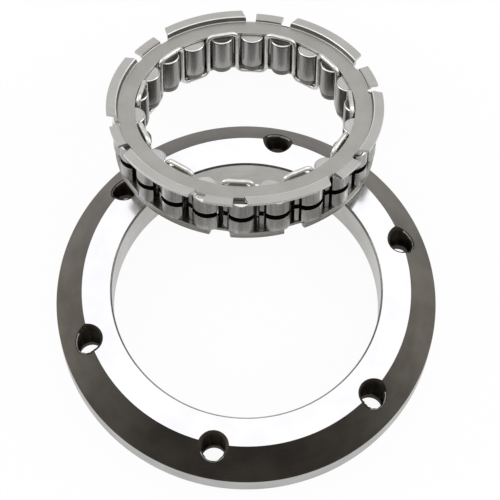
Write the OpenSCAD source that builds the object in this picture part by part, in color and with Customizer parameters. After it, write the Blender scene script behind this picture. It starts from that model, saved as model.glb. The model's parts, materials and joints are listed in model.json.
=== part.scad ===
// Starter clutch: a bolt-on outer ring lying flat, with its loose sprag insert leaning on it.
// Origin on the table under the middle of the ring, +Z up, +Y towards the leaning insert.

/* [Outer ring] */
// Outer diameter of the ring
ring_d = 112; // [106:0.5:120]
// Height of the ring
ring_h = 17.3; // [15.5:0.1:20]
// Diameter of the polished flat on top
flat_d = 96; // [94:0.5:98]
// Height that the bevel loses from the flat to the rim
bevel_drop = 9.1; // [6:0.1:11]
// Diameter of the ground bore that the sprags run in
bore_d = 78.5; // [77.5:0.1:79.5]
// Chamfer at the top of the bore
bore_chamfer = 0.8; // [0.3:0.1:1.2]
// Diameter of the recess in the underside
recess_d = 84; // [81:0.5:86]
// Depth of the recess in the underside
recess_h = 2.7; // [1:0.1:4]
// Chamfer at the foot of the rim
rim_chamfer = 0.6; // [0.2:0.1:1.5]

/* [Bolt holes] */
// Number of tapped holes
bolt_count = 6; // [4:1:8]
// Diameter of the circle through the hole centres
bolt_pcd = 96; // [93:0.5:98]
// Core diameter of the tapped holes
tap_d = 6.8; // [5:0.1:8]
// Diameter of the countersink at the flat
countersink_d = 9.2; // [8.4:0.1:10]
// Direction of the first hole
bolt_azimuth = 18.2; // [0:0.1:60]

/* [End plates] */
// Height of the insert over both lips
cage_h = 16.55; // [15:0.05:18]
// Thickness of the pressed sheet
sheet = 0.9; // [0.7:0.05:1.1]
// Diameter of the hole in both plates
plate_hole_d = 65.2; // [64.8:0.1:65.6]
// How far the upper lip stands out past the bore
lip_overhang = 1.85; // [1.2:0.05:2.5]
// Height of the step up to the long tabs
lip_rise = 1.53; // [1:0.01:1.8]
// Height of the step up to the short tabs
short_rise = 0.6; // [0.3:0.05:1]
// How much shorter the short tabs reach
short_inset = 0.3; // [0:0.05:0.8]
// Height of the step down to the lower lip
foot_rise = 0.7; // [0.4:0.05:1]
// Running clearance of the lower lip in the bore
foot_clear = 0.25; // [0.15:0.05:0.5]
// Clearance of the pressed steps in the bore
step_clear = 0.8; // [0.5:0.05:1.2]
// Radial run of the pressed steps
step_run = 0.5; // [0.3:0.05:0.8]
// Radial thickness of the pressed steps
step_wall = 0.82; // [0.6:0.01:1]

/* [Notches] */
// Number of short tabs on the upper lip
tab_count = 6; // [4:1:8]
// Half angle of a short tab
tab_half = 6; // [4:0.1:8]
// Angle of a notch at its inner end
notch_in = 4.2; // [3:0.1:6]
// Angle of a notch at its outer end
notch_out = 6.9; // [5:0.1:9]
// Direction of the first short tab
tab_azimuth = 18.3; // [0:0.1:60]
// How far the notches reach inside the foot of the step
notch_relief = 0.3; // [0.2:0.05:0.8]
// Number of short tabs on the lower lip
foot_tab_count = 3; // [2:1:4]
// Half angle of a lower short tab at its root
foot_tab_in = 12.5; // [10:0.1:14]
// Half angle of a lower short tab at its tip
foot_tab_out = 10; // [8:0.1:12]
// Half angle of the lower notches at their inner end
foot_notch_in = 20.3; // [18:0.1:24]
// Half angle of the lower notches at their outer end
foot_notch_out = 21.9; // [20:0.1:26]
// Direction of the first lower short tab
foot_azimuth = 34.8; // [0:0.1:120]

/* [Sprags] */
// Number of sprags, even so that the wire closes
sprag_count = 22; // [20:2:22]
// Direction of the first sprag
sprag_azimuth = 265.5; // [0:0.1:360]
// Diameter of the shaft that the sprags grip
hub_d = 59; // [58:0.1:59.6]
// How far a free sprag stands out past the bore
sprag_proud = 0.17; // [0.05:0.01:0.3]
// Radius of the inner lobe
lobe_r = 3.7; // [3.4:0.05:3.9]
// Radius of the outer cam
cam_r = 4.7; // [4.4:0.05:5]
// Sideways shift of the outer cam
cam_shift = 1.3; // [1:0.05:1.5]
// Reach of the cam from its centre to the tip
cam_tip = 3.95; // [3.7:0.05:4.1]
// Reach of the cam from its centre to the ledge
cam_ledge = 3.55; // [3.3:0.05:3.7]
// Half width of the waist where the lobe ends
waist_half = 3.5; // [3.3:0.05:3.55]
// Half width of the neck beside the heel
neck_half = 3.15; // [2.9:0.05:3.4]
// Reach of the heel to the side
heel_reach = 3.9; // [3.6:0.05:4]
// Radial distance from the cam centre to the heel
heel_start = 0.75; // [0.4:0.05:1]
// Radial length of the heel's side
heel_len = 1.15; // [0.6:0.05:1.4]
// Radial run of the heel's slopes
heel_slope = 0.45; // [0.2:0.05:0.6]
// Reach of the shoulder below the tip
shoulder_reach = 4.2; // [4:0.05:4.4]
// Radial distance from the cam centre to the shoulder
shoulder_start = 0.7; // [0.4:0.05:1]
// End play of a sprag between the plates
end_play = 0.12; // [0.05:0.01:0.2]
// Chamfer at the ends of the outer cam
cam_chamfer = 0.6; // [0.2:0.05:1]
// Radial depth of the chamfer on top of the lobe
lobe_chamfer = 1.25; // [0.6:0.05:1.5]
// Height of the chamfer on top of the lobe
lobe_chamfer_h = 0.95; // [0.5:0.05:1.5]
// Radial depth of the lead-in at the foot of the lobe
lead_in = 0.6; // [0.2:0.05:0.8]
// Height of the lead-in at the foot of the lobe
lead_in_h = 2.5; // [1:0.1:4]
// Height of the groove round the middle
groove_h = 1.2; // [0.8:0.05:2]
// Depth of the groove below the cam
groove_depth = 3.4; // [2:0.1:3.6]

/* [Spring wire] */
// Diameter of the wire
wire_d = 1.4; // [1.2:0.05:1.45]
// Clearance from the wire to the hole in the plates
wire_seat = 0.1; // [0.05:0.01:0.15]
// Bend radius of the wire at its centre line
wire_bend = 2; // [1.5:0.1:2.4]
// Clearance from the wire to the sprag tops it crosses
over_clear = 1.02; // [0.3:0.01:1.2]
// Clearance from the wire to the sprag feet it crosses
under_clear = 0.37; // [0.2:0.01:0.6]

/* [Bars] */
// Width of a bar between two sprags
bar_w = 0.9; // [0.6:0.05:1]
// Radial thickness of a bar
bar_t = 1.1; // [0.8:0.05:1.2]
// Radius at the middle of a bar
bar_r = 34.45; // [34.2:0.05:34.6]
// Angle from the middle of a gap to its bar
bar_shift = 0.3; // [0:0.05:0.5]

/* [Resting pose] */
// Lean of the insert on the ring
lean = 20.9; // [18:0.1:24]
// Gap from the insert's lowest edge to the table
table_gap = 0.1; // [0.05:0.05:0.5]
// Gap from the insert's underside to the edge of the flat
lean_gap = 0.5; // [0.2:0.05:0.8]

/* [Hidden] */
$fn = 96;
pitch = 360 / sprag_count;

// Ring
flat_r = flat_d / 2;
bore_r = bore_d / 2;

// How far cutters run past a face, and how far they stay off an edge
cut = 1;
skin = 0.05;

// Heights in the insert, counted down from the top of the upper lip
plate_top = -lip_rise;
sprag_top = plate_top - sheet - end_play;
short_under = plate_top + short_rise - sheet;
foot_top = foot_rise + sheet - cage_h;
sprag_foot = foot_top + end_play;
wire_top = sprag_top + over_clear + wire_d / 2;
wire_foot = sprag_foot - under_clear - wire_d / 2;

// Radii in the insert
plate_hole_r = plate_hole_d / 2;
step_r = bore_r - step_clear;
root_r = step_r - step_wall;
notch_r = root_r - notch_relief;
lip_r = bore_r + lip_overhang;
foot_r = bore_r - foot_clear;
leg_r = plate_hole_r - wire_seat - wire_d / 2;
loop_r = leg_r * cos(pitch / 2);
loop_half = leg_r * sin(pitch / 2);

// Sprag section, with x along the radius and y round the ring
lobe_x = hub_d / 2 + lobe_r;
cam_x = sqrt(pow(bore_r + sprag_proud - cam_r, 2) - pow(cam_shift, 2));
tip_y = cam_shift + cam_tip;
tip_x = cam_x + sqrt(pow(cam_r, 2) - pow(cam_tip, 2));
ledge_y = cam_shift - cam_ledge;
waist_x = lobe_x + sqrt(pow(lobe_r, 2) - pow(waist_half, 2)) - skin;
heel_x = cam_x + heel_start;
heel_end = heel_x + heel_len;
shoulder_x = cam_x + shoulder_start;
groove_r = bore_r + sprag_proud - groove_depth;

// The insert leans with its lowest edge on the table and its wire on the edge of the flat
under_z = wire_foot - wire_d / 2;
cage_z = cage_h * cos(lean) + foot_r * sin(lean) + table_gap;
under_mid_z = cage_z + under_z * cos(lean);
rest_run = (under_mid_z - ring_h - lean_gap) / sin(lean);
rest_y = sqrt(pow(flat_r, 2) + pow(rest_run, 2) - pow(loop_r, 2));
cage_y = rest_y - rest_run * cos(lean) - under_z * sin(lean);

function padded(i) = str(i < 10 ? "0" : "", i);
function sprag_name(i) = str("sprag_", padded(i));
function sprag_turn(i) = sprag_azimuth + (i - 1) * pitch;

module in_cage() {
    translate([0, cage_y, cage_z])
        rotate([-lean, 0, 0])
            children();
}

module tapped_hole() {
    translate([0, 0, -cut])
        cylinder(h = ring_h + 2 * cut, d = tap_d);
    sink = (countersink_d - tap_d) / 2;
    translate([0, 0, ring_h - sink])
        cylinder(h = sink + cut, d1 = tap_d, d2 = countersink_d + 2 * cut);
}

module outer_ring() {
    color([0.84, 0.84, 0.87])
        difference() {
            rotate_extrude()
                polygon([
                    [recess_d / 2, 0],
                    [ring_d / 2 - rim_chamfer, 0],
                    [ring_d / 2, rim_chamfer],
                    [ring_d / 2, ring_h - bevel_drop],
                    [flat_r, ring_h],
                    [bore_r + bore_chamfer, ring_h],
                    [bore_r, ring_h - bore_chamfer],
                    [bore_r, recess_h],
                    [recess_d / 2, recess_h]
                ]);
            for (i = [0:bolt_count - 1])
                rotate(bolt_azimuth + i * 360 / bolt_count)
                    translate([bolt_pcd / 2, 0, 0])
                        tapped_hole();
        }
}

// One notch in a lip, between a short tab and the long tab beside it
module lip_notch(tab_in, tab_out, far_in, far_out, low, high) {
    far_r = lip_r + cut;
    translate([0, 0, low])
        linear_extrude(high - low)
            polygon([
                notch_r * [cos(tab_in), sin(tab_in)],
                far_r * [cos(tab_out), sin(tab_out)],
                far_r * [cos(far_out), sin(far_out)],
                notch_r * [cos(far_in), sin(far_in)]
            ]);
}

// Sheet with a lip deep enough for the long and the short tabs, which are cut out of it
module deep_lip() {
    rotate_extrude()
        polygon([
            [plate_hole_r, plate_top - sheet],
            [plate_hole_r, plate_top],
            [root_r, plate_top],
            [root_r + step_run, 0],
            [lip_r, 0],
            [lip_r, short_under],
            [step_r + step_run, short_under],
            [step_r, plate_top - sheet]
        ]);
}

module upper_plate() {
    tab_pitch = 360 / tab_count;
    split = tab_half + notch_in / 2;
    low = plate_top - sheet - cut;
    color([0.69, 0.68, 0.65])
        in_cage()
            difference() {
                deep_lip();
                for (i = [0:tab_count - 1])
                    rotate(tab_azimuth + i * tab_pitch) {
                        rotate(split)
                            rotate_extrude(angle = tab_pitch - 2 * split)
                                polygon([
                                    [step_r + step_run / 2, low],
                                    [step_r + step_run / 2, -sheet],
                                    [lip_r + cut, -sheet],
                                    [lip_r + cut, low]
                                ]);
                        rotate(-split)
                            rotate_extrude(angle = 2 * split)
                                polygon([
                                    [root_r, plate_top + short_rise],
                                    [lip_r - short_inset, plate_top + short_rise],
                                    [lip_r - short_inset, low],
                                    [lip_r + cut, low],
                                    [lip_r + cut, cut],
                                    [root_r, cut]
                                ]);
                        for (side = [0, 1])
                            mirror([0, side, 0])
                                lip_notch(tab_half, tab_half, tab_half + notch_in,
                                          tab_half + notch_out, low, cut);
                    }
            }
}

module lower_plate() {
    color([0.66, 0.65, 0.62])
        in_cage()
            difference() {
                lower_sheet();
                for (i = [0:foot_tab_count - 1], side = [0, 1])
                    rotate(foot_azimuth + i * 360 / foot_tab_count)
                        mirror([0, side, 0])
                            lip_notch(foot_tab_in, foot_tab_out, foot_notch_in,
                                      foot_notch_out, -cage_h - cut, foot_top + cut);
            }
}

// Sheet that steps down to the lower lip
module lower_sheet() {
    rotate_extrude()
        polygon([
            [plate_hole_r, foot_top],
            [plate_hole_r, foot_top - sheet],
            [root_r, foot_top - sheet],
            [root_r + step_run, -cage_h],
            [foot_r, -cage_h],
            [foot_r, sheet - cage_h],
            [step_r + step_run, sheet - cage_h],
            [step_r, foot_top]
        ]);
}

// One bar in each gap between two sprags, face to face with both plates
module spacer_bars() {
    color([0.5, 0.49, 0.47])
        in_cage()
            for (i = [1:sprag_count])
                rotate(sprag_turn(i) + pitch / 2 + bar_shift)
                    translate([bar_r - bar_t / 2, -bar_w / 2, foot_top])
                        cube([bar_t, bar_w, plate_top - sheet - foot_top]);
}

module sprag_section() {
    translate([lobe_x, 0])
        circle(r = lobe_r);
    intersection() {
        translate([cam_x, cam_shift])
            circle(r = cam_r);
        polygon([
            [cam_x, ledge_y],
            [cam_x + cam_r + cut, ledge_y],
            [cam_x + cam_r + cut, tip_y],
            [tip_x, tip_y],
            [shoulder_x, shoulder_reach],
            [cam_x, waist_half]
        ]);
    }
    polygon([
        [waist_x, -waist_half],
        [heel_x - heel_slope, -neck_half],
        [heel_x, -heel_reach],
        [heel_end, -heel_reach],
        [heel_end + heel_slope, ledge_y - skin],
        [heel_end + heel_slope, cam_shift],
        [shoulder_x, shoulder_reach - skin],
        [waist_x, waist_half]
    ]);
}

// Turned outline that chamfers the sprag's ends and cuts its groove
module sprag_outline() {
    in_r = hub_d / 2 - skin;
    out_r = bore_r + sprag_proud + skin;
    groove_mid = (sprag_top + sprag_foot) / 2;
    rotate_extrude()
        polygon([
            [in_r + lobe_chamfer, sprag_top],
            [out_r - cam_chamfer, sprag_top],
            [out_r, sprag_top - cam_chamfer],
            [out_r, groove_mid + groove_h / 2],
            [groove_r, groove_mid + groove_h / 2],
            [groove_r, groove_mid - groove_h / 2],
            [out_r, groove_mid - groove_h / 2],
            [out_r, sprag_foot + cam_chamfer],
            [out_r - cam_chamfer, sprag_foot],
            [in_r + lead_in, sprag_foot],
            [in_r, sprag_foot + lead_in_h],
            [in_r, sprag_top - lobe_chamfer_h]
        ]);
}

module sprag(i) {
    color([0.5, 0.5, 0.49])
        in_cage()
            rotate(sprag_turn(i))
                intersection() {
                    translate([0, 0, sprag_foot - cut])
                        linear_extrude(sprag_top - sprag_foot + 2 * cut)
                            sprag_section();
                    sprag_outline();
                }
}

// One straight loop over a sprag with its two bends, seen along the radius
module wire_loop() {
    for (side = [0, 1])
        mirror([0, side, 0])
            translate([loop_r, loop_half - wire_bend, -wire_bend])
                rotate([90, 0, 90])
                    rotate_extrude(angle = 90)
                        translate([wire_bend, 0])
                            circle(d = wire_d);
    translate([loop_r, loop_half - wire_bend, 0])
        rotate([90, 0, 0])
            cylinder(h = 2 * (loop_half - wire_bend), d = wire_d);
}

module spring_wire() {
    leg_h = wire_top - wire_foot - 2 * wire_bend;
    color([0.8, 0.79, 0.76])
        in_cage()
            for (i = [1:sprag_count])
                rotate(sprag_turn(i)) {
                    if (i % 2 == 1)
                        translate([0, 0, wire_top])
                            wire_loop();
                    else
                        translate([0, 0, wire_foot])
                            mirror([0, 0, 1])
                                wire_loop();
                    translate([loop_r, loop_half, wire_foot + wire_bend])
                        cylinder(h = leg_h, d = wire_d);
                }
}

outer_ring();
upper_plate();
lower_plate();
spacer_bars();
spring_wire();
for (i = [1:sprag_count])
    sprag(i);
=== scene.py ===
import json
import math

import bmesh
import bpy
from mathutils import Matrix, Vector

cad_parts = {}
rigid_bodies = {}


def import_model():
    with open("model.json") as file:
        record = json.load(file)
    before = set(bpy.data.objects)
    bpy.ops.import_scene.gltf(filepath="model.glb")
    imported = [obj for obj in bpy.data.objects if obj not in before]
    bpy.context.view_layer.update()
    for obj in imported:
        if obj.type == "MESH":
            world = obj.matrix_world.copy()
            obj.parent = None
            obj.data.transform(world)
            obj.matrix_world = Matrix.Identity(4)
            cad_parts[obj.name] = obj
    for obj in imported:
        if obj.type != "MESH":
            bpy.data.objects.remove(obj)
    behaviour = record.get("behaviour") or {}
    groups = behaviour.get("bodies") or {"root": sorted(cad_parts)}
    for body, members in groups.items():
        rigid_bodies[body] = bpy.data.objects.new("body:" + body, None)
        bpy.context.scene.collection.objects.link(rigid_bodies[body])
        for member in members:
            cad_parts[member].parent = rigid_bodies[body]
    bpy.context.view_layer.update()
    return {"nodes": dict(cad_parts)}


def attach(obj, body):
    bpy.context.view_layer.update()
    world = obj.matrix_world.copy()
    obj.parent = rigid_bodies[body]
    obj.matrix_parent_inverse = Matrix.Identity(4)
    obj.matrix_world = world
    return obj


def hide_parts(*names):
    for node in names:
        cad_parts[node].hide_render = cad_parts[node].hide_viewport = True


# the start-up cube, lamp and camera go first
for stray in list(bpy.data.objects):
    bpy.data.objects.remove(stray)
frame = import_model()
mm = 0.001
print("frame loaded with", len(frame["nodes"]), "solids")

# how the insert leans: its own z is its axis, and 0 is the top of the upper lip
insertPlace = {"centreY": 53.7606, "centreZ": 29.4739, "lean": 20.9}
insertMatrix = (Matrix.Translation((0, insertPlace["centreY"] * mm, insertPlace["centreZ"] * mm))
                @ Matrix.Rotation(math.radians(-insertPlace["lean"]), 4, "X"))


# camera, fitted to the photograph
camera = {
    "place": (-7.60, -224.34, 618.35),
    "elevation": 68.53,
    "turn": -2.12,
    "roll": 1.62,
    "lens": 158.4,
    "sensor": 36,
    "clip": (0.01, 20),
}


def makeCamera():
    e = math.radians(camera["elevation"])
    roll = math.radians(camera["roll"])
    right = Vector((1, 0, 0))
    up = Vector((0, math.sin(e), math.cos(e)))
    ahead = Vector((0, math.cos(e), -math.sin(e)))
    side = math.cos(roll) * right + math.sin(roll) * up
    top = math.cos(roll) * up - math.sin(roll) * right
    turn = Matrix.Rotation(math.radians(camera["turn"]), 4, "Z")
    axes = Matrix((side, top, -ahead)).transposed().to_4x4()
    data = bpy.data.cameras.new("photoCamera")
    data.lens = camera["lens"]
    data.sensor_width = camera["sensor"]
    data.clip_start, data.clip_end = camera["clip"]
    obj = bpy.data.objects.new("photoCamera", data)
    bpy.context.scene.collection.objects.link(obj)
    obj.matrix_world = Matrix.Translation(Vector(camera["place"]) * mm) @ turn @ axes
    bpy.context.scene.camera = obj


makeCamera()
bpy.context.scene.view_settings.view_transform = "Standard"
print("camera set")


def addNode(tree, kind, inputs=(), **settings):
    # a node in any tree, each of its inputs linked to a socket or set to a value
    node = tree.nodes.new(kind)
    for key, value in settings.items():
        setattr(node, key, value)
    for key, value in dict(inputs).items():
        if isinstance(value, bpy.types.NodeSocket):
            tree.links.new(value, node.inputs[key])
        else:
            node.inputs[key].default_value = value
    return node.outputs


# small helpers for materials
class Finish:
    def __init__(self, name, base, metallic, roughness):
        self.material = bpy.data.materials.new(name)
        self.material.use_nodes = True
        self.tree = self.material.node_tree
        self.shader = self.tree.nodes["Principled BSDF"]
        self.shader.inputs["Base Color"].default_value = (*base, 1)
        self.shader.inputs["Metallic"].default_value = metallic
        self.shader.inputs["Roughness"].default_value = roughness
        self.material.diffuse_color = (*base, 1)

    def add(self, kind, inputs=(), **settings):
        return addNode(self.tree, "ShaderNode" + kind, inputs, **settings)

    def math(self, operation, *values):
        return self.add("Math", enumerate(values), operation=operation)[0]

    def weigh(self, *parts):
        # adds up patterns, each times its share
        total = None
        for value, share in parts:
            scaled = self.math("MULTIPLY", value, share)
            total = self.math("ADD", total, scaled) if total else scaled
        return total

    def place(self, local=False):
        # object coordinates in millimetres, on the insert's own axes if local
        coords = self.add("TexCoord")["Object"]
        if local:
            coords = self.add("Mapping", {
                "Vector": coords, "Location": (0, insertPlace["centreY"] * mm, insertPlace["centreZ"] * mm),
                "Rotation": (-math.radians(insertPlace["lean"]), 0, 0)}, vector_type="TEXTURE")[0]
        return self.add("VectorMath", {0: coords, "Scale": 1 / mm}, operation="SCALE")[0]

    def radius(self, coords):
        # (radius, height) round the axis of the given coordinates
        x, y, z = self.add("SeparateXYZ", {0: coords})
        square = self.math("ADD", self.math("MULTIPLY", x, x), self.math("MULTIPLY", y, y))
        return self.math("SQRT", square), z

    def noise(self, coords, scale, detail=3, roughness=0.55):
        return self.add("TexNoise", {
            "Vector": coords, "Scale": scale, "Detail": detail, "Roughness": roughness})[0]

    def stretch(self, coords, scale):
        return self.add("VectorMath", {0: coords, 1: scale}, operation="MULTIPLY")[0]

    def between(self, value, low, high, fromLow=0.3, fromHigh=0.7):
        return self.add("MapRange", {
            "Value": value, "From Min": fromLow, "From Max": fromHigh, "To Min": low, "To Max": high})[0]

    def ramp(self, value, tones, ends):
        node = self.tree.nodes.new("ShaderNodeValToRGB")
        for stop, position, colour in zip(node.color_ramp.elements, ends, tones):
            stop.position = position
            stop.color = (*colour, 1)
        self.tree.links.new(value, node.inputs[0])
        return node.outputs[0]

    def bump(self, height, strength, depth):
        relief = self.add("Bump", {"Height": height, "Strength": strength, "Distance": depth * mm})
        self.into(relief[0], "Normal")

    def into(self, value, name):
        self.tree.links.new(value, self.shader.inputs[name])


# metal turned or ground round an axis: fine rings, soft clouds and small grain
turned = {
    "cloudsPerMm": 0.09, "grainPerMm": 3, "rampEnds": (0.36, 0.62), "smooth": 0.9, "rough": 1.12,
    "bump": 0.12, "bumpDepth": 0.02,
}


def turnedFinish(name, dark, light, roughness, rings, grain, lines=0.3, local=False, metal=1):
    t = turned
    finish = Finish(name, light, metal, roughness)
    coords = finish.place(local)
    radius, height = finish.radius(coords)
    across = finish.math("MULTIPLY", radius, rings)
    along = finish.math("MULTIPLY", height, rings)
    turning = finish.noise(finish.add("CombineXYZ", {0: across, 1: along})[0], 1, detail=2)
    clouds = finish.noise(coords, t["cloudsPerMm"], detail=4)
    mixed = finish.weigh((turning, lines), (clouds, 1 - lines))
    finish.into(finish.ramp(mixed, (dark, light), t["rampEnds"]), "Base Color")
    finish.into(finish.between(turning, roughness * t["smooth"], roughness * t["rough"]), "Roughness")
    speckle = finish.math("MULTIPLY", finish.noise(coords, t["grainPerMm"], detail=2), grain)
    finish.bump(finish.math("ADD", turning, speckle), t["bump"], t["bumpDepth"])
    return finish.material


# turned finishes, in the colours that each has under a plain white light, except the ones with painted shade
# or painted highlight in them; rings are per mm
turnedFinishes = {
    "polishedFlat": {"dark": (0.93, 0.93, 0.97), "light": (0.99, 0.99, 0.998), "roughness": 0.14,
                     "rings": 9, "grain": 0.3, "lines": 0.1},
    "darkTurnedBevel": {"dark": (0.104, 0.093, 0.079), "light": (0.15, 0.135, 0.116), "roughness": 0.30,
                        "rings": 9, "grain": 0.8, "lines": 0.12},
    "turnedRim": {"dark": (0.36, 0.36, 0.355), "light": (0.48, 0.48, 0.47), "roughness": 0.30,
                  "rings": 6, "grain": 0.5},
    "groundBore": {"dark": (0.42, 0.41, 0.388), "light": (0.54, 0.53, 0.507), "roughness": 0.22,
                   "rings": 7, "grain": 0.2, "lines": 0.15},
    # painted shade: the threads and the chamfer round each bolt hole are dark and brownish, for the shade
    # inside the holes
    "oiledThread": {"dark": (0.04, 0.034, 0.027), "light": (0.11, 0.094, 0.075), "roughness": 0.66,
                    "rings": 2, "grain": 1, "lines": 0},
    # painted highlight: a light band, only partly metal, on each hole's chamfer near its outer edge
    "holeRim": {"dark": (0.52, 0.50, 0.47), "light": (0.72, 0.70, 0.66), "roughness": 0.3,
                "rings": 3, "grain": 1, "lines": 0, "metal": 0.3},
    # painted shade: the upper plate's step wall is dark for the shade on it
    "pressedStep": {"dark": (0.15, 0.144, 0.135), "light": (0.22, 0.212, 0.2), "roughness": 0.40,
                    "rings": 1.2, "grain": 1.2, "local": True},
    # painted shade: the bars are near black for the shade in the gaps between the sprags
    "darkBar": {"dark": (0.02, 0.019, 0.018), "light": (0.05, 0.048, 0.045), "roughness": 0.45,
                "rings": 2, "grain": 1, "local": True},
    # painted shade: dark on the sprags' down-facing foot taper, and on the tops that the wire shades
    "spragFoot": {"dark": (0.10, 0.098, 0.085), "light": (0.17, 0.165, 0.15), "roughness": 0.34,
                  "rings": 3, "grain": 0.6, "local": True},
    # painted shade: near black in the groove round the sprags' cams and in the slot beside the heel
    "oiledGroove": {"dark": (0.012, 0.012, 0.011), "light": (0.03, 0.029, 0.027), "roughness": 0.5,
                    "rings": 3, "grain": 0.6, "local": True},
    # painted highlight: bright on the upper plate's fold where the lip starts, and on the sprags' rounded
    # edges and crowns
    "groundChamfer": {"dark": (0.78, 0.78, 0.77), "light": (0.92, 0.92, 0.91), "roughness": 0.3,
                      "rings": 5, "grain": 0.4, "local": True},
    # painted light: the sprags' top faces are lighter than their sides, for the light falling on them
    "groundSpragTop": {"dark": (0.60, 0.595, 0.585), "light": (0.78, 0.77, 0.76), "roughness": 0.28,
                       "rings": 3, "grain": 0.6, "local": True},
}
steels = {name: turnedFinish(name, **values) for name, values in turnedFinishes.items()}

# tumbled sheet: fine even grain and soft clouds, with another tone on the lip
tumbled = {
    "roughness": 0.36, "smooth": 0.30, "rough": 0.42, "grainPerMm": 2.6, "grainShare": 0.6,
    "cloudsPerMm": 0.12, "rampEnds": (0.38, 0.62), "lipR": 38.2, "lipBlend": 0.25,
    "bump": 0.35, "bumpDepth": 0.03,
}
sheetTones = {
    "tumbledSheet": {"body": ((0.46, 0.445, 0.42), (0.57, 0.555, 0.525)),
                     "lip": ((0.56, 0.55, 0.525), (0.66, 0.65, 0.63))},
    # painted shade: the lower plate's sheet and lip are darker, for the shade it lies in under the sprags
    "shadedSheet": {"body": ((0.30, 0.288, 0.265), (0.38, 0.366, 0.338)),
                    "lip": ((0.27, 0.26, 0.24), (0.35, 0.337, 0.312))},
}


def pressedFinish(name):
    t, tones = tumbled, sheetTones[name]
    finish = Finish(name, tones["body"][1], 1, t["roughness"])
    coords = finish.place(True)
    radius = finish.radius(coords)[0]
    grain = finish.noise(coords, t["grainPerMm"], detail=4, roughness=0.7)
    clouds = finish.noise(coords, t["cloudsPerMm"], detail=4)
    mixed = finish.weigh((grain, t["grainShare"]), (clouds, 1 - t["grainShare"]))
    onLip = finish.between(radius, 0, 1, t["lipR"] - t["lipBlend"], t["lipR"] + t["lipBlend"])
    body = finish.ramp(mixed, tones["body"], t["rampEnds"])
    lip = finish.ramp(mixed, tones["lip"], t["rampEnds"])
    first, second, result = 6, 7, 2  # the mix node's colour sockets
    blend = finish.add("Mix", {"Factor": onLip, first: body, second: lip}, data_type="RGBA")
    finish.into(blend[result], "Base Color")
    finish.into(finish.between(grain, t["smooth"], t["rough"]), "Roughness")
    finish.bump(grain, t["bump"], t["bumpDepth"])
    return finish.material


plateSteel = pressedFinish("tumbledSheet")
lowerPlateSteel = pressedFinish("shadedSheet")

# drawn bar: fine streaks and broader bands run along the sprag's height
drawn = {
    "tones": ((0.28, 0.274, 0.266), (0.44, 0.433, 0.424)), "rampEnds": (0.38, 0.62),
    "roughness": 0.26, "smooth": 0.22, "rough": 0.30,
    "streaksPerMm": 3.0, "bandsPerMm": 0.6, "streaksAlong": 0.1, "bandsAlong": 0.025, "grainPerMm": 3,
    "streaks": 0.12, "bands": 0.6, "grain": 0.28, "bump": 0.1, "bumpDepth": 0.02,
}


def drawnFinish():
    d = drawn
    finish = Finish("drawnSprag", d["tones"][1], 1, d["roughness"])
    coords = finish.place(True)
    thin = finish.stretch(coords, (d["streaksPerMm"], d["streaksPerMm"], d["streaksAlong"]))
    broad = finish.stretch(coords, (d["bandsPerMm"], d["bandsPerMm"], d["bandsAlong"]))
    streaks = finish.noise(thin, 1)
    bands = finish.noise(broad, 1, detail=2)
    grain = finish.noise(coords, d["grainPerMm"])
    mixed = finish.weigh((bands, d["bands"]), (grain, d["grain"]), (streaks, d["streaks"]))
    finish.into(finish.ramp(mixed, d["tones"], d["rampEnds"]), "Base Color")
    finish.into(finish.between(streaks, d["smooth"], d["rough"]), "Roughness")
    finish.bump(streaks, d["bump"], d["bumpDepth"])
    return finish.material


spragSteel = drawnFinish()

# bright drawn wire, a little cloudy
nickel = {
    "tones": ((0.66, 0.65, 0.62), (0.84, 0.83, 0.80)), "rampEnds": (0.3, 0.6),
    "roughness": 0.3, "smooth": 0.26, "rough": 0.36,
    "cloudsPerMm": 0.5, "spotsPerMm": 2.5, "dentsPerMm": 4, "bump": 0.15, "bumpDepth": 0.03,
}


def nickelFinish():
    w = nickel
    finish = Finish("brightWire", w["tones"][1], 1, w["roughness"])
    coords = finish.place(True)
    clouds = finish.noise(coords, w["cloudsPerMm"], detail=4)
    spots = finish.noise(coords, w["spotsPerMm"], detail=2)
    finish.into(finish.ramp(clouds, w["tones"], w["rampEnds"]), "Base Color")
    finish.into(finish.between(spots, w["smooth"], w["rough"]), "Roughness")
    finish.bump(finish.noise(coords, w["dentsPerMm"]), w["bump"], w["bumpDepth"])
    return finish.material


wireNickel = nickelFinish()
print("materials made")


# mesh helpers
def makeObject(name, points, faces):
    mesh = bpy.data.meshes.new(name)
    mesh.from_pydata(points, [], faces)
    mesh.validate()
    obj = bpy.data.objects.new(name, mesh)
    bpy.context.scene.collection.objects.link(obj)
    return obj


def rounded(points, steps=3):
    # closed outline of (x, y, radius) corners, each rounded by its radius
    out = []
    count = len(points)
    mostOfEdge = 0.45
    for i, (x, y, r) in enumerate(points):
        here = Vector((x, y))
        if not r:
            out.append((x, y))
            continue
        a = Vector(points[i - 1][:2]) - here
        b = Vector(points[(i + 1) % count][:2]) - here
        half = a.angle(b) / 2
        reach = min(r / math.tan(half), mostOfEdge * a.length, mostOfEdge * b.length)
        start, end = here + a.normalized() * reach, here + b.normalized() * reach
        for s in range(steps + 1):
            t = s / steps
            curve = (1 - t) ** 2 * start + 2 * t * (1 - t) * here + t * t * end
            out.append((curve.x, curve.y))
    return out


def lathe(name, profile, segments, start=0, sweep=360):
    # turns an outline of (radius, height) in mm round z; a part turn gets flat ends
    whole = sweep == 360
    columns = segments if whole else segments + 1
    n = len(profile)
    points = []
    for c in range(columns):
        a = math.radians(start + sweep * c / segments)
        points += [(r * math.cos(a) * mm, r * math.sin(a) * mm, z * mm) for r, z in profile]
    faces = []
    for c in range(segments):
        d = (c + 1) % columns
        faces += [(c * n + i, d * n + i, d * n + (i + 1) % n, c * n + (i + 1) % n) for i in range(n)]
    if not whole:
        faces.append(tuple(range(n)))
        faces.append(tuple(reversed(range(segments * n, segments * n + n))))
    return makeObject(name, points, faces)


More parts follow.
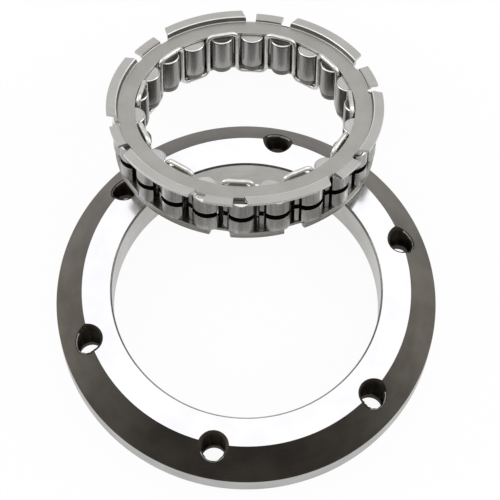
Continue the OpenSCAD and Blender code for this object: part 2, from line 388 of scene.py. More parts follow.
def prism(name, outline, low, high):
    n = len(outline)
    points = [(x * mm, y * mm, z * mm) for z in (low, high) for x, y in outline]
    faces = [tuple(reversed(range(n))), tuple(range(n, 2 * n))]
    faces += [(i, (i + 1) % n, n + (i + 1) % n, n + i) for i in range(n)]
    return makeObject(name, points, faces)


def join(name, parts):
    # one mesh out of several plain ones
    points, faces = [], []
    for part in parts:
        base = len(points)
        points += [tuple(v.co) for v in part.data.vertices]
        faces += [tuple(base + i for i in p.vertices) for p in part.data.polygons]
        bpy.data.objects.remove(part)
    return makeObject(name, points, faces)


def faceOut(obj):
    # joins doubled points and turns every face outwards
    doubled = 0.0001 * mm
    work = bmesh.new()
    work.from_mesh(obj.data)
    bmesh.ops.remove_doubles(work, verts=work.verts, dist=doubled)
    bmesh.ops.recalc_face_normals(work, faces=work.faces)
    work.to_mesh(obj.data)
    work.free()


def drop(*objects):
    for obj in objects:
        bpy.data.objects.remove(obj)


# Geometry Nodes helpers
def newTree(name, inputs):
    tree = bpy.data.node_groups.new(name, "GeometryNodeTree")
    tree.interface.new_socket("Geometry", in_out="INPUT", socket_type="NodeSocketGeometry")
    for label, kind in inputs.items():
        tree.interface.new_socket(label, in_out="INPUT", socket_type="NodeSocket" + kind)
    tree.interface.new_socket("Material", in_out="INPUT", socket_type="NodeSocketMaterial")
    tree.interface.new_socket("Geometry", in_out="OUTPUT", socket_type="NodeSocketGeometry")
    return tree, tree.nodes.new("NodeGroupInput").outputs


def shapeNode(tree, kind, inputs=(), **settings):
    return addNode(tree, "GeometryNode" + kind, inputs, **settings)


def closeTree(tree, given, geometry):
    # the end of every tree: real copies in the given material
    whole = shapeNode(tree, "RealizeInstances", {"Geometry": geometry})
    paint = shapeNode(tree, "SetMaterial", {"Geometry": whole[0], "Material": given["Material"]})
    addNode(tree, "NodeGroupOutput", {0: paint[0]})
    return tree


def turnAround(tree, place, pitch, first):
    # rotation about the axis by a number of pitches, on from the first angle
    turn = addNode(tree, "ShaderNodeMath", {0: place, 1: pitch, 2: first}, operation="MULTIPLY_ADD")
    return addNode(tree, "ShaderNodeCombineXYZ", {"Z": turn[0]})[0]


def copiesAround(tree, given, shape):
    # copies of a shape, evenly spread round the axis
    row = shapeNode(tree, "MeshLine", {"Count": given["Count"], "Offset": (0, 0, 0)})
    index = shapeNode(tree, "InputIndex")
    share = addNode(tree, "ShaderNodeMath", {0: 2 * math.pi, 1: given["Count"]}, operation="DIVIDE")
    spin = turnAround(tree, index[0], share[0], given["First angle"])
    return shapeNode(tree, "InstanceOnPoints", {"Points": row[0], "Instance": shape, "Rotation": spin})[0]


def grow(obj, tree, values):
    # sets the tree's inputs by identifier and turns the result into a plain mesh
    modifier = obj.modifiers.new("grow", "NODES")
    modifier.node_group = tree
    for item in tree.interface.items_tree:
        if item.item_type == "SOCKET" and item.in_out == "INPUT" and item.name in values:
            modifier[item.identifier] = values[item.name]
    bpy.context.view_layer.update()
    graph = bpy.context.evaluated_depsgraph_get()
    mesh = bpy.data.meshes.new_from_object(obj.evaluated_get(graph))
    made = bpy.data.objects.new(obj.name + "Grown", mesh)
    bpy.context.scene.collection.objects.link(made)
    obj.modifiers.remove(modifier)
    return made


def cutAroundTree():
    # copies a cutter round the axis and takes all the copies away from the blank
    tree, given = newTree("cutAround", {"Cutter": "Object", "Count": "Int", "First angle": "Float"})
    cutter = shapeNode(tree, "ObjectInfo", {"Object": given["Cutter"]})
    copies = copiesAround(tree, given, cutter["Geometry"])
    solid = shapeNode(tree, "RealizeInstances", {"Geometry": copies})
    cut = shapeNode(tree, "MeshBoolean", {"Mesh 1": given["Geometry"], "Mesh 2": solid[0]},
                    operation="DIFFERENCE", solver="EXACT")
    return closeTree(tree, given, cut["Mesh"])


cutAround = cutAroundTree()


def cutAll(piece, cutters, count, first, material):
    # cuts each shape in turn out of the piece, in even places round the axis
    for cutter in cutters:
        cut = grow(piece, cutAround, {
            "Cutter": cutter, "Count": count, "First angle": math.radians(first), "Material": material})
        drop(piece, cutter)
        piece = cut
    return piece


def finishMesh(obj, name, materials, pick=None, bevel=0, sharp=32, weld=0.004):
    # joins near points, rounds the edges, picks a material for each face and sets smooth shading
    obj.name = obj.data.name = name
    work = bmesh.new()
    work.from_mesh(obj.data)
    bmesh.ops.remove_doubles(work, verts=work.verts, dist=weld * mm)
    bmesh.ops.dissolve_degenerate(work, edges=work.edges, dist=weld * mm)
    work.to_mesh(obj.data)
    work.free()
    if bevel:
        modifier = obj.modifiers.new("edges", "BEVEL")
        modifier.width = bevel * mm
        modifier.segments = 2  # one more edge along the middle of each rounding
        modifier.limit_method = "ANGLE"
        modifier.angle_limit = math.radians(sharp)
        modifier.use_clamp_overlap = True
        applyModifiers(obj)
    mesh = obj.data
    mesh.materials.clear()
    for material in materials:
        mesh.materials.append(material)
    for polygon in mesh.polygons:
        polygon.use_smooth = True
        polygon.material_index = pick(polygon) if pick else 0
    mesh.set_sharp_from_angle(angle=math.radians(sharp))
    modifier = obj.modifiers.new("shade", "WEIGHTED_NORMAL")
    modifier.keep_sharp = True
    applyModifiers(obj)
    return obj


def applyModifiers(obj):
    bpy.context.view_layer.update()
    graph = bpy.context.evaluated_depsgraph_get()
    mesh = bpy.data.meshes.new_from_object(obj.evaluated_get(graph))
    obj.modifiers.clear()
    mesh.name = obj.name
    obj.data = mesh


def handOver(obj, body, node, matrix=None):
    if matrix is not None:
        obj.data.transform(matrix)
    obj.data.update()
    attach(obj, body)
    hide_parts(node)


# outer ring
ring = {
    "outerR": 56, "height": 17.3, "flatR": 48, "bevelDrop": 9.1, "boreR": 39.25, "boreChamfer": 0.55,
    "recessR": 42, "recessH": 2.7, "footChamfer": 0.6, "segments": 384,
    "footRound": 0.1, "chamferRound": 0.15, "rimRound": 0.25, "flatRound": 0.12, "boreTopRound": 0.08,
}
boltHole = {
    "count": 6, "circleR": 48, "firstAngle": 18.2, "crestR": 3.4, "rootR": 3.98, "pitch": 1.25,
    "reliefR": 3.75, "reliefH": 3.3, "aroundSteps": 72, "rowsPerTurn": 8,
    "sinkR": 4.55, "bevelTrim": 0.25, "flatTrim": 0.6, "trimCurve": 0.7,
    # the line keys place the band of painted highlight on each hole's chamfer
    "lineWidth": 0.3, "lineInset": 0.22, "lineFrom": 0.02, "lineDepth": 2,
    "past": 2, "insideThread": 0.05, "outsideMouth": 0.6, "aboveMouth": 3, "tipDepth": 4,  # cutters' reach
}


def threadedRod():
    # cutter in the shape of a tap: its surface winds in and out between crest and root
    b = boltHole
    steps = b["aroundSteps"]
    rows = int((ring["height"] + 2 * b["past"]) / b["pitch"] * b["rowsPerTurn"])
    points, faces = [], []
    for row in range(rows + 1):
        z = row * b["pitch"] / b["rowsPerTurn"] - b["past"]
        for s in range(steps):
            a = 2 * math.pi * s / steps
            phase = (z / b["pitch"] - s / steps) % 1
            wave = 1 - abs(2 * phase - 1)
            r = b["reliefR"] if z < b["reliefH"] else b["crestR"] + wave * (b["rootR"] - b["crestR"])
            points.append(((b["circleR"] + r * math.cos(a)) * mm, r * math.sin(a) * mm, z * mm))
    for row in range(rows):
        for s in range(steps):
            t = (s + 1) % steps
            faces.append((row * steps + s, row * steps + t, (row + 1) * steps + t, (row + 1) * steps + s))
    faces.append(tuple(reversed(range(steps))))
    faces.append(tuple(range(rows * steps, rows * steps + steps)))
    return makeObject("tapShape", points, faces)


def topAt(radius):
    # height of the ring's top: the flat, and the bevel outside it
    slope = ring["bevelDrop"] / (ring["outerR"] - ring["flatR"])
    return ring["height"] - max(0, radius - ring["flatR"]) * slope


def mouthAt(outward):
    # radius of the chamfer's outer edge, by the cosine of its bearing from the ring's axis
    b = boltHole
    return b["sinkR"] - b["bevelTrim"] * max(0, outward) - b["flatTrim"] * max(0, -outward) ** b["trimCurve"]


def holeMouth():
    # cutter for the chamfer where a hole comes out, which follows the flat and the bevel; two extra rings of
    # points on it bound the band of painted highlight
    b = boltHole
    steps = b["aroundSteps"] * 2
    columns = []
    for s in range(steps):
        a = 2 * math.pi * (s + 0.5) / steps  # half a step on, clear of the thread's corners
        mouth = mouthAt(math.cos(a))
        line = mouth - b["lineInset"]
        rim = mouth + b["outsideMouth"]
        mouthZ = topAt(math.hypot(b["circleR"] + mouth * math.cos(a), mouth * math.sin(a)))
        radii = (b["crestR"] - b["insideThread"], line - b["lineWidth"], line, mouth, rim)
        spots = [(r, mouthZ + r - mouth) for r in radii] + [(rim, ring["height"] + b["aboveMouth"])]
        columns.append([((b["circleR"] + r * math.cos(a)) * mm, r * math.sin(a) * mm, z * mm)
                        for r, z in spots])
    points = [point for level in zip(*columns) for point in level]
    tip = len(points)
    points.append((b["circleR"] * mm, 0, (ring["height"] - b["tipDepth"]) * mm))
    last = tip // steps - 1
    faces = []
    for s in range(steps):
        t = (s + 1) % steps
        faces += [(k * steps + s, k * steps + t, (k + 1) * steps + t, (k + 1) * steps + s)
                  for k in range(last)]
        faces.append((tip, t, s))
    faces.append(tuple(range(last * steps, tip)))
    return makeObject("holeMouth", points, faces)


def ringFacePicker():
    # says which of the ring's finishes a face has, from its place and the way it looks; the bolt holes and
    # their chamfers get painted shade, with a thin ring of painted highlight near each mouth
    b = boltHole
    bearings = [math.radians(b["firstAngle"] + 360 / b["count"] * k) for k in range(b["count"])]
    centres = [(b["circleR"] * math.cos(a), b["circleR"] * math.sin(a)) for a in bearings]
    flat, bevel, rim, bore, thread, mouthHighlight = range(6)
    level, upright, leaning = 0.95, 0.9, 0.3
    lineSlope, slopeError, margin, tiny = 0.7, 0.1, 0.1, 0.000001

    def pick(face):
        x, y, z = face.center / mm
        radius = math.hypot(x, y)
        normal = face.normal
        outward = (normal.x * x + normal.y * y) / radius
        cx, cy = min(centres, key=lambda c: math.hypot(x - c[0], y - c[1]))
        away = math.hypot(x - cx, y - cy)
        inward = (normal.x * (cx - x) + normal.y * (cy - y)) / max(away, tiny)
        if away < b["sinkR"] + margin and inward > leaning:
            bearing = (cx * (x - cx) + cy * (y - cy)) / (away * b["circleR"])
            inset = mouthAt(bearing) - b["lineInset"] - away
            onLine = bearing > b["lineFrom"] and 0 < inset < b["lineWidth"]
            onMouth = z > topAt(radius) - b["lineDepth"] and abs(normal.z - lineSlope) < slopeError
            # faces on the band take the painted highlight, the rest of the hole the painted shade
            return mouthHighlight if onLine and onMouth else thread
        if normal.z > level:
            return flat
        if outward > leaning and normal.z > leaning:
            return bevel
        if outward < -upright or (outward < -leaning and normal.z > leaning):
            return bore
        return thread if away < b["sinkR"] else rim

    return pick


def makeRing():
    r = ring
    blank = lathe("ringBlank", rounded([
        (r["recessR"], 0, r["footRound"]), (r["outerR"] - r["footChamfer"], 0, r["footRound"]),
        (r["outerR"], r["footChamfer"], r["chamferRound"]),
        (r["outerR"], r["height"] - r["bevelDrop"], r["rimRound"]),
        (r["flatR"], r["height"], r["flatRound"]),
        (r["boreR"] + r["boreChamfer"], r["height"], r["boreTopRound"]),
        (r["boreR"], r["height"] - r["boreChamfer"], r["flatRound"]),
        (r["boreR"], r["recessH"], r["footRound"]), (r["recessR"], r["recessH"], 0),
    ]), r["segments"])
    faceOut(blank)
    piece = cutAll(blank, (threadedRod(), holeMouth()), boltHole["count"], boltHole["firstAngle"],
                   steels["turnedRim"])
    finishes = ("polishedFlat", "darkTurnedBevel", "turnedRim", "groundBore", "oiledThread", "holeRim")
    piece = finishMesh(piece, "outerRingBody", [steels[name] for name in finishes], ringFacePicker())
    handOver(piece, "ring", "outer_ring")


makeRing()
print("outer ring made")


# end plates
plates = {
    "height": 16.55, "sheet": 0.9, "holeR": 32.6, "stepR": 38.45, "rootR": 37.63, "stepRun": 0.5,
    "lipR": 41.1, "lipRise": 1.53, "shortRise": 0.6, "shortInset": 0.3,
    "footR": 39.0, "footRise": 0.7, "notchR": 37.33, "segments": 360,
    "edgeRound": 0.12, "holeFold": 0.2, "stepFold": 0.3, "lipFold": 0.35, "footFold": 0.25,
    "underFold": 0.15, "innerFold": 0.1, "lipUnder": 0.05, "roundSteps": 4,
}
notches = {
    "tabs": 6, "tabHalf": 6, "inner": 4.2, "outer": 6.9, "azimuth": 18.3, "cornerR": 0.35,
    "footTabs": 3, "footTabIn": 12.5, "footTabOut": 10, "footIn": 20.3, "footOut": 21.9, "footAzimuth": 34.8,
    "past": 1, "longSteps": 46, "shortSteps": 18, "shortFrom": 0.2,
}
upperSheet = -plates["lipRise"]  # top of the upper plate's sheet
lowerSheet = plates["footRise"] + plates["sheet"] - plates["height"]  # top of the lower plate's sheet


def polar(r, degrees):
    a = math.radians(degrees)
    return (r * math.cos(a), r * math.sin(a))


def notchPair(tabIn, tabOut, farIn, farOut, low, high):
    # the two notches beside a short tab, with small round corners at their inner ends
    inner, outer, corner = plates["notchR"], plates["lipR"] + notches["past"], notches["cornerR"]
    sides = []
    for sign in (1, -1):
        outline = rounded([
            (*polar(inner, sign * tabIn), corner), (*polar(outer, sign * tabOut), 0),
            (*polar(outer, sign * farOut), 0), (*polar(inner, sign * farIn), corner),
        ], plates["roundSteps"])
        sides.append(prism("notchSide", outline if sign > 0 else outline[::-1], low, high))
    pair = join("notchPair", sides)
    faceOut(pair)
    return pair


def upperFaces(face):
    # the sheet, the step's wall in painted shade, and a painted highlight on the fold where the lip starts
    sheet, step, fold = range(3)
    foldReach, foldDepth, foldLean, tiny = 0.3, 0.2, 0.15, 0.001
    stepLean, stepStart, stepEnd = 0.6, 0.08, 0.05
    x, y, z = face.center / mm
    radius = math.hypot(x, y)
    outward = (face.normal.x * x + face.normal.y * y) / radius
    fromRoot = radius - plates["rootR"]
    fromFold = fromRoot - plates["stepRun"]
    below = -foldDepth < z < -tiny
    if abs(fromFold) < foldReach and below and face.normal.z > foldLean:
        return fold
    inStep = fromRoot > stepStart and fromFold < -stepEnd
    return step if inStep and outward < -stepLean and face.normal.z > 0 else sheet


def makeUpperPlate():
    p, q = plates, notches
    top, sheet = upperSheet, p["sheet"]
    shortTop = top + p["shortRise"]
    under = shortTop - sheet
    wall = p["stepR"] + p["stepRun"]
    blank = lathe("upperBlank", rounded([
        (p["holeR"], top - sheet, p["edgeRound"]), (p["holeR"], top, p["holeFold"]),
        (p["rootR"], top, p["stepFold"]), (p["rootR"] + p["stepRun"], 0, p["lipFold"]),
        (p["lipR"], 0, p["edgeRound"]), (p["lipR"], under, p["lipUnder"]),
        (wall, under, p["innerFold"]), (p["stepR"], top - sheet, p["underFold"]),
    ], p["roundSteps"]), p["segments"])
    faceOut(blank)
    split = q["tabHalf"] + q["inner"] / 2
    low = top - sheet - q["past"]
    outside, inside = p["lipR"] + q["past"], p["stepR"] + p["stepRun"] / 2
    shortR, shortIn = p["lipR"] - p["shortInset"], p["rootR"] - q["shortFrom"]
    longCut = lathe("longCut", [(inside, low), (inside, -sheet), (outside, -sheet), (outside, low)],
                    q["longSteps"], split, 360 / q["tabs"] - 2 * split)
    shortCut = lathe("shortCut", [(shortIn, shortTop), (shortR, shortTop), (shortR, low), (outside, low),
                                  (outside, q["past"]), (shortIn, q["past"])],
                     q["shortSteps"], -split, 2 * split)
    faceOut(longCut)
    faceOut(shortCut)
    pair = notchPair(q["tabHalf"], q["tabHalf"], q["tabHalf"] + q["inner"], q["tabHalf"] + q["outer"],
                     low, q["past"])
    piece = cutAll(blank, (pair, longCut, shortCut), q["tabs"], q["azimuth"], plateSteel)
    materials = (plateSteel, steels["pressedStep"], steels["groundChamfer"])
    piece = finishMesh(piece, "upperPlateBody", materials, upperFaces)
    handOver(piece, "insert", "upper_plate", insertMatrix)


def makeLowerPlate():
    p, q = plates, notches
    high, foot = lowerSheet, -p["height"]
    blank = lathe("lowerBlank", rounded([
        (p["holeR"], high, p["holeFold"]), (p["holeR"], high - p["sheet"], p["edgeRound"]),
        (p["rootR"], high - p["sheet"], p["stepFold"]), (p["rootR"] + p["stepRun"], foot, p["footFold"]),
        (p["footR"], foot, p["edgeRound"]), (p["footR"], p["sheet"] + foot, p["edgeRound"]),
        (p["stepR"] + p["stepRun"], p["sheet"] + foot, p["innerFold"]), (p["stepR"], high, p["underFold"]),
    ], p["roundSteps"]), p["segments"])
    faceOut(blank)
    pair = notchPair(q["footTabIn"], q["footTabOut"], q["footIn"], q["footOut"],
                     foot - q["past"], high + q["past"])
    piece = cutAll(blank, (pair,), q["footTabs"], q["footAzimuth"], lowerPlateSteel)
    piece = finishMesh(piece, "lowerPlateBody", (lowerPlateSteel,))
    handOver(piece, "insert", "lower_plate", insertMatrix)


makeUpperPlate()
makeLowerPlate()
print("end plates made")


# the row of sprags, which the bars and the wire follow
sprags = {
    "count": 22, "azimuth": 265.5, "hubR": 29.5, "outerR": 39.42, "lobeR": 3.7, "camR": 4.7, "camShift": 1.3,
    "camTip": 3.95, "camLedge": 3.55, "waist": 3.5, "neck": 3.15, "heel": 3.9, "heelStart": 0.75,
    "heelLen": 1.15, "heelSlope": 0.45, "shoulder": 4.2, "shoulderStart": 0.7,
    "neckRound": 0.15, "corner": 0.25, "shoulderRound": 0.2, "lobeSteps": 60, "camSteps": 34,
    "slotWidth": 0.28, "slotDepth": 1.0, "slotRound": 0.1, "slotFrom": 34.6,
    "top": -2.55, "foot": -14.83, "camChamfer": 0.6, "leadIn": 0.5, "leadInH": 2.1,
    "grooveH": 1.9, "grooveR": 36.02, "edge": 0.14, "weld": 0.08, "levelGap": 0.1,
    "crown": 0.5, "crownH": 0.55, "crownSteps": 4, "crownGap": 0.4,
    "crownEndX": 35.5, "crownRun": 1.3, "leastCrown": 0.2,
    "past": 1, "radialPast": 0.05, "turnSteps": 40, "turnHalf": 10,  # reach of the turned shape
    "shadeR": 36.5, "nearSine": -0.15,
}
pitch = 360 / sprags["count"]

# upright bars, one in each gap between two sprags
bars = {"width": 1.3, "thick": 0.8, "radius": 34.7, "shift": 0.3, "edge": 0.12}


def barTree():
    tree, given = newTree("barsAround", {
        "Count": "Int", "Radius": "Float", "Size": "Vector", "Height": "Float", "First angle": "Float"})
    block = shapeNode(tree, "MeshCube", {"Size": given["Size"]})
    shift = addNode(tree, "ShaderNodeCombineXYZ", {"X": given["Radius"], "Z": given["Height"]})
    placed = shapeNode(tree, "Transform", {"Geometry": block[0], "Translation": shift[0]})
    return closeTree(tree, given, copiesAround(tree, given, placed[0]))


def makeBars():
    # they stand face to face between the two plates, near black as painted shade between the sprags
    high, low = upperSheet - plates["sheet"], lowerSheet
    seed = makeObject("barSeed", [(0, 0, 0)], [])
    piece = grow(seed, barTree(), {
        "Count": sprags["count"], "Radius": bars["radius"] * mm,
        "Size": (bars["thick"] * mm, bars["width"] * mm, (high - low) * mm), "Height": (high + low) / 2 * mm,
        "First angle": math.radians(sprags["azimuth"] + pitch / 2 + bars["shift"]),
        "Material": steels["darkBar"]})
    drop(seed)
    piece = finishMesh(piece, "spacerBars", (steels["darkBar"],), bevel=bars["edge"])
    handOver(piece, "insert", "spacer_bars", insertMatrix)


makeBars()
print("bars made")


def spragOutline():
    # outline round the section, x along the radius, going round with the solid on the left
    s = sprags
    lobeX = s["hubR"] + s["lobeR"]
    camX = math.sqrt((s["outerR"] - s["camR"]) ** 2 - s["camShift"] ** 2)
    waistX = lobeX + math.sqrt(s["lobeR"] ** 2 - s["waist"] ** 2)
    heelX = camX + s["heelStart"]
    heelEnd = heelX + s["heelLen"]
    slotX = heelEnd + s["heelSlope"]
    ledgeY = s["camShift"] - s["camLedge"]
    corner, lobeSteps, camSteps = s["corner"], s["lobeSteps"], s["camSteps"]
    start = math.atan2(s["waist"], waistX - lobeX)
    points = []
    for k in range(lobeSteps + 1):
        a = start + (2 * math.pi - 2 * start) * k / lobeSteps
        points.append((lobeX + s["lobeR"] * math.cos(a), s["lobeR"] * math.sin(a), 0))
    points += [(heelX - s["heelSlope"], -s["neck"], s["neckRound"]), (heelX, -s["heel"], corner),
               (heelEnd, -s["heel"], corner), (slotX, ledgeY - s["slotWidth"], s["slotRound"]),
               (slotX - s["slotDepth"], ledgeY - s["slotWidth"], 0), (slotX - s["slotDepth"], ledgeY, 0)]
    low = -math.asin(s["camLedge"] / s["camR"])
    high = math.asin(s["camTip"] / s["camR"])
    for k in range(camSteps + 1):
        a = low + (high - low) * k / camSteps
        points.append((camX + s["camR"] * math.cos(a), s["camShift"] + s["camR"] * math.sin(a),
                       corner if k in (0, camSteps) else 0))
    points.append((camX + s["shoulderStart"], s["shoulder"], s["shoulderRound"]))
    return rounded(points)


def turnedOutline():
    # outline of (radius, height) that chamfers the cam's ends and cuts the groove
    s = sprags
    inR, outR = s["hubR"] - s["radialPast"], s["outerR"] + s["radialPast"]
    above, below = s["top"] + s["past"], s["foot"] - s["past"]
    chamferR = outR - s["camChamfer"] - s["past"]
    middle = (s["top"] + s["foot"]) / 2
    up, down = middle + s["grooveH"] / 2, middle - s["grooveH"] / 2
    return [
        (inR, above), (chamferR, above), (outR, s["top"] - s["camChamfer"]),
        (outR, up), (s["grooveR"], up), (s["grooveR"], down), (outR, down),
        (outR, s["foot"] + s["camChamfer"]), (chamferR, below), (inR, below),
    ]


def crownedBar():
    # the section drawn upwards: rounded over at the top and tapered at the foot, least on the cam
    s = sprags
    outline = [Vector(spot) for spot in spragOutline()]
    n = len(outline)
    inward = []
    for i in range(n):
        run = outline[(i + 1) % n] - outline[i - 1]
        share = min(1, max(s["leastCrown"], (s["crownEndX"] - outline[i].x) / s["crownRun"]))
        inward.append(Vector((-run.y, run.x)).normalized() * s["crown"] * share)
    middle, groove = (s["top"] + s["foot"]) / 2, s["grooveH"] / 2 + s["edge"] + s["levelGap"]
    levels = [(s["foot"], s["leadIn"] / s["crown"]), (s["foot"] + s["leadInH"], 0),
              (middle - groove, 0), (middle + groove, 0), (s["top"] - s["crownH"] - s["crownGap"], 0)]
    for k in range(s["crownSteps"] + 1):
        a = math.pi / 2 * k / s["crownSteps"]
        levels.append((s["top"] - s["crownH"] * (1 - math.sin(a)), 1 - math.cos(a)))
    points = []
    for z, share in levels:
        points += [((spot + shift * share).x * mm, (spot + shift * share).y * mm, z * mm)
                   for spot, shift in zip(outline, inward)]
    faces = [tuple(reversed(range(n)))]
    for k in range(len(levels) - 1):
        faces += [(k * n + i, k * n + (i + 1) % n, (k + 1) * n + (i + 1) % n, (k + 1) * n + i)
                  for i in range(n)]
    last = (len(levels) - 1) * n
    faces.append(tuple(range(last, last + n)))
    return makeObject("spragBar", points, faces)


def commonTree():
    # keeps what the blank and another solid have in common
    tree, given = newTree("keepCommon", {"Other": "Object"})
    other = shapeNode(tree, "ObjectInfo", {"Object": given["Other"]})
    common = shapeNode(tree, "MeshBoolean", {"Mesh 2": given["Geometry"]},
                       operation="INTERSECT", solver="EXACT")["Mesh"]
    tree.links.new(other["Geometry"], common.node.inputs["Mesh 2"])
    return closeTree(tree, given, common)


def spragFaces(face):
    # the drawn sides, the rounded edges in painted highlight, the tapered foot, the groove and the slot in
    # painted shade, and the top in painted light
    side, edge, foot, groove, top = range(5)
    nearGroove, level, across, leaning, edgeFrom, edgeTo = 0.04, 0.99, 0.85, 0.1, 0.2, 0.97
    s = sprags
    middle = (s["top"] + s["foot"]) / 2
    x, y, z = face.center / mm
    slope = face.normal.z
    grooved = abs(math.hypot(x, y) - s["grooveR"]) < nearGroove or abs(slope) > level
    # the groove and the slot take painted shade
    if abs(z - middle) < s["grooveH"] and grooved:
        return groove
    # down-facing foot faces take painted shade
    if z < s["foot"] + s["leadInH"] and slope < -leaning:
        return foot
    if slope > level and z > middle:
        return top
    if abs(face.normal.y) > across and x > s["slotFrom"]:
        return groove
    # slanted faces, the rounded edges and crowns, take painted highlight
    return edge if edgeFrom < abs(slope) < edgeTo else side


def makeSpragBlank():
    s = sprags
    bar = crownedBar()
    turnedShape = lathe("spragTurned", turnedOutline(), s["turnSteps"], -s["turnHalf"], 2 * s["turnHalf"])
    faceOut(bar)
    faceOut(turnedShape)
    blank = grow(bar, commonTree(), {"Other": turnedShape, "Material": spragSteel})
    drop(bar, turnedShape)
    materials = (spragSteel, steels["groundChamfer"], steels["spragFoot"], steels["oiledGroove"],
                 steels["groundSpragTop"])
    return finishMesh(blank, "spragBlank", materials, spragFaces, s["edge"], weld=s["weld"])


def placeTree():
    # turns a copy of the blank to its place in the row of sprags
    tree, given = newTree("placeSprag", {
        "Blank": "Object", "Place": "Int", "Pitch": "Float", "First angle": "Float"})
    blank = shapeNode(tree, "ObjectInfo", {"Object": given["Blank"]})
    spin = turnAround(tree, given["Place"], given["Pitch"], given["First angle"])
    placed = shapeNode(tree, "Transform", {"Geometry": blank["Geometry"], "Rotation": spin})
    return closeTree(tree, given, placed[0])


def makeSprags():
    blank = makeSpragBlank()
    tree = placeTree()
    seed = makeObject("spragSeed", [(0, 0, 0)], [])
    edge, foot, top = 1, 2, 4
    for i in range(sprags["count"]):
        node = "sprag_%02d" % (i + 1)
        piece = grow(seed, tree, {"Blank": blank, "Place": i, "Pitch": math.radians(pitch),
                                  "First angle": math.radians(sprags["azimuth"]), "Material": spragSteel})
        piece.name = piece.data.name = "spragBody%02d" % (i + 1)
        piece.data.materials.clear()
        for material in blank.data.materials:
            piece.data.materials.append(material)
        # painted shade: the wire shades every second sprag's top, and its edge too on the near side, so
        # these faces take the foot's dark colour
        nearSide = math.sin(math.radians(sprags["azimuth"] + i * pitch)) < sprags["nearSine"]
        shaded = () if i % 2 else (edge, top) if nearSide else (top,)
        for face, pattern in zip(piece.data.polygons, blank.data.polygons):
            under = pattern.material_index in shaded and pattern.center.x < sprags["shadeR"] * mm
            face.material_index = foot if under else pattern.material_index
        handOver(piece, node, node, insertMatrix)
    drop(blank, seed)


makeSprags()
print("sprags made:", sprags["count"])


# spring wire
wire = {
    "diameter": 1.4, "legR": 31.8, "topZ": -0.83, "footZ": -15.90,
    "bend": 2, "bendSteps": 10, "roundSteps": 20, "smoothUpTo": 60,
}


def wireTree():
    # rounds the corners of the meander and sweeps the wire along it
    tree, given = newTree("sweepWire", {
        "Bend radius": "Float", "Bend steps": "Int", "Wire radius": "Float", "Round steps": "Int"})
    bends = shapeNode(tree, "FilletCurve", {
        "Curve": given["Geometry"], "Count": given["Bend steps"], "Radius": given["Bend radius"]},
        mode="POLY")
    section = shapeNode(tree, "CurvePrimitiveCircle", {
        "Resolution": given["Round steps"], "Radius": given["Wire radius"]})
    sweep = shapeNode(tree, "CurveToMesh", {"Curve": bends[0], "Profile Curve": section[0]})
    return closeTree(tree, given, sweep[0])


def makeWire():
    corners = []
    for i in range(sprags["count"]):
        level = wire["topZ"] if i % 2 == 0 else wire["footZ"]
        for side in (-0.5, 0.5):
            x, y = polar(wire["legR"], sprags["azimuth"] + (i + side) * pitch)
            corners.append((x * mm, y * mm, level * mm))
    curve = bpy.data.curves.new("wirePath", "CURVE")
    curve.dimensions = "3D"
    spline = curve.splines.new("POLY")
    spline.points.add(len(corners) - 1)
    for point, corner in zip(spline.points, corners):
        point.co = (*corner, 1)
    spline.use_cyclic_u = True
    path = bpy.data.objects.new("wirePath", curve)
    bpy.context.scene.collection.objects.link(path)
    piece = grow(path, wireTree(), {
        "Bend radius": wire["bend"] * mm, "Bend steps": wire["bendSteps"],
        "Wire radius": wire["diameter"] / 2 * mm, "Round steps": wire["roundSteps"], "Material": wireNickel})
    drop(path)
    piece = finishMesh(piece, "springWireBody", (wireNickel,), sharp=wire["smoothUpTo"])
    faceOut(piece)
    handOver(piece, "insert", "spring_wire", insertMatrix)


makeWire()
print("spring wire made")


# floor, world and lamps
studio = {
    "floorSize": 3.0, "floorZ": -0.04, "floorSeen": 0.95, "floorMirrored": 0.62,
    "floorColour": (0.93, 0.93, 0.93), "plainLevel": 1.0, "overhead": 1.30, "ceilingBlend": (0.35, 0.8),
    "frontWall": 0.03, "backWall": 0.84, "wallBlend": (-0.9, 0.7),
}
lamps = {
    "leftBox": {"place": (-0.9, 0.2, 0.5), "size": 0.6, "power": 2.4, "aim": (0, 0.02, 0.01)},
    "rightBox": {"place": (0.8, 0.2, 0.5), "size": 0.6, "power": 2.4, "aim": (0, 0.02, 0.01)},
}


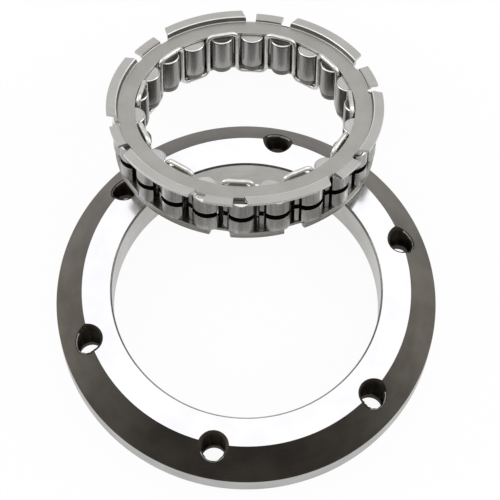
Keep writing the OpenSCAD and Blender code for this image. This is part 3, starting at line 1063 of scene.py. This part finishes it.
def makeFloor():
    half, z = studio["floorSize"] / 2, studio["floorZ"] * mm
    corners = [(-half, -half, z), (half, -half, z), (half, half, z), (-half, half, z)]
    floor = makeObject("paleFloor", corners, [(0, 1, 2, 3)])
    material = bpy.data.materials.new("paleFloor")
    material.use_nodes = True
    tree = material.node_tree
    tree.nodes.clear()
    path = addNode(tree, "ShaderNodeLightPath")
    plain = addNode(tree, "ShaderNodeBsdfDiffuse", {"Color": (*studio["floorColour"], 1)})
    glow = addNode(tree, "ShaderNodeEmission", {"Strength": 1})
    seen = addNode(tree, "ShaderNodeMath", {0: path["Is Camera Ray"], 1: studio["floorSeen"]},
                   operation="MULTIPLY")
    share = addNode(tree, "ShaderNodeMath", {
        0: path["Is Glossy Ray"], 1: studio["floorMirrored"], 2: seen[0]}, operation="MULTIPLY_ADD")
    mix = addNode(tree, "ShaderNodeMixShader", {0: share[0], 1: plain[0], 2: glow[0]})
    addNode(tree, "ShaderNodeOutputMaterial", {0: mix[0]})
    floor.data.materials.append(material)


def makeWorld():
    # plain light for the object, white behind it, and a room with a dim front wall for its gloss
    world = bpy.data.worlds.new("studioRoom")
    bpy.context.scene.world = world
    world.use_nodes = True
    tree = world.node_tree
    tree.nodes.clear()

    def remap(value, ends, low, high):
        return addNode(tree, "ShaderNodeMapRange", {
            "Value": value, "From Min": ends[0], "From Max": ends[1], "To Min": low, "To Max": high},
            interpolation_type="SMOOTHSTEP")[0]

    def mixed(factor, first, second):
        # a plain mix of numbers keeps its two values in sockets 2 and 3
        return addNode(tree, "ShaderNodeMix", {0: factor, 2: first, 3: second}, data_type="FLOAT")[0]

    way = addNode(tree, "ShaderNodeTexCoord")["Generated"]
    x, y, z = addNode(tree, "ShaderNodeSeparateXYZ", {0: way})
    path = addNode(tree, "ShaderNodeLightPath")
    walls = remap(y, studio["wallBlend"], studio["frontWall"], studio["backWall"])
    room = mixed(remap(z, studio["ceilingBlend"], 0, 1), walls, studio["overhead"])
    glossy = mixed(path["Is Glossy Ray"], studio["plainLevel"], room)
    light = addNode(tree, "ShaderNodeBackground", {"Strength": mixed(path["Is Camera Ray"], glossy, 1)})
    addNode(tree, "ShaderNodeOutputWorld", {0: light[0]})


def makeLamp(name, place, size, power, aim):
    data = bpy.data.lights.new(name, "AREA")
    data.shape = "RECTANGLE"
    data.size = data.size_y = size
    data.energy = power
    lamp = bpy.data.objects.new(name, data)
    bpy.context.scene.collection.objects.link(lamp)
    lamp.location = place
    lamp.rotation_euler = (Vector(aim) - Vector(place)).to_track_quat("-Z", "Y").to_euler()


makeFloor()
makeWorld()
for name, values in lamps.items():
    makeLamp(name, **values)
print("studio made")
